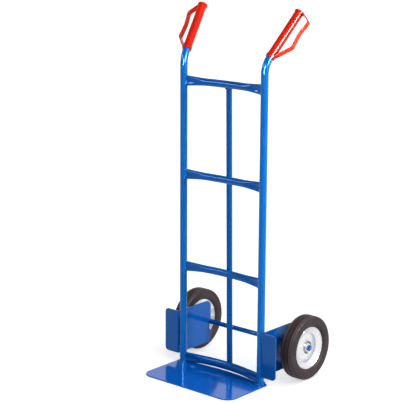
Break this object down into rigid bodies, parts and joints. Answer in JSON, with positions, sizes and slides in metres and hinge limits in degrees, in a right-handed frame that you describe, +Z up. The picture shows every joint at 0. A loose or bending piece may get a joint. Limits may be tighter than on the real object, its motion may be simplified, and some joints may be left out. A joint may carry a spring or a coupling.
{
  "type": "hand truck",
  "caption": "Upright steel-tube hand truck with bowed crossbars, flat toe plate, folded wheel brackets, solid-tyred wheels and grips with knuckle guards.",
  "frame": {"origin": "on the underside of the toe plate, at floor level, midway between the axes of the two uprights", "axes": "+Z up; +Y backwards, from the toe plate to the wheels and the user; +X to the right of somebody facing the truck across its toe plate"},
  "size_m": [0.525, 0.4505, 1.2321],
  "materials": {
    "blue_paint": "gloss powder coat",
    "blue_cap": "gloss",
    "red_plastic": "moulded, satin gloss",
    "tyre_rubber": "smooth matt rubber",
    "zinc_disc": "bright zinc plate",
    "zinc_steel": "zinc plate",
    "nylon": "natural nylon"
  },
  "bodies": {
    "frame": {"left_upright": "blue_paint", "right_upright": "blue_paint", "top_crossbar": "blue_paint", "middle_crossbar": "blue_paint", "lower_crossbar": "blue_paint", "bottom_crossbar": "blue_paint", "centre_bar": "blue_paint", "toe_plate": "blue_paint", "left_toe_gusset": "blue_paint", "right_toe_gusset": "blue_paint", "left_wheel_bracket": "blue_paint", "right_wheel_bracket": "blue_paint", "axle": "blue_paint", "left_grip": "red_plastic", "left_axle_cap": "blue_cap", "left_axle_spacer": "zinc_steel", "left_axle_washers": "zinc_steel", "right_grip": "red_plastic", "right_axle_cap": "blue_cap", "right_axle_spacer": "zinc_steel", "right_axle_washers": "zinc_steel"},
    "left_wheel": {"left_tyre": "tyre_rubber", "left_outer_rim_disc": "zinc_disc", "left_inner_rim_disc": "zinc_disc", "left_hub_tube": "zinc_steel", "left_hub_bushes": "nylon"},
    "right_wheel": {"right_tyre": "tyre_rubber", "right_outer_rim_disc": "zinc_disc", "right_inner_rim_disc": "zinc_disc", "right_hub_tube": "zinc_steel", "right_hub_bushes": "nylon"}
  },
  "joints": [
    {"name": "left_wheel_spin", "type": "hinge", "parent": "frame", "child": "left_wheel", "pos_m": [-0.2375, 0.1535, 0.1085], "axis": [1, 0, 0], "continuous": true},
    {"name": "right_wheel_spin", "type": "hinge", "parent": "frame", "child": "right_wheel", "pos_m": [0.2375, 0.1535, 0.1085], "axis": [1, 0, 0], "continuous": true}
  ]
}
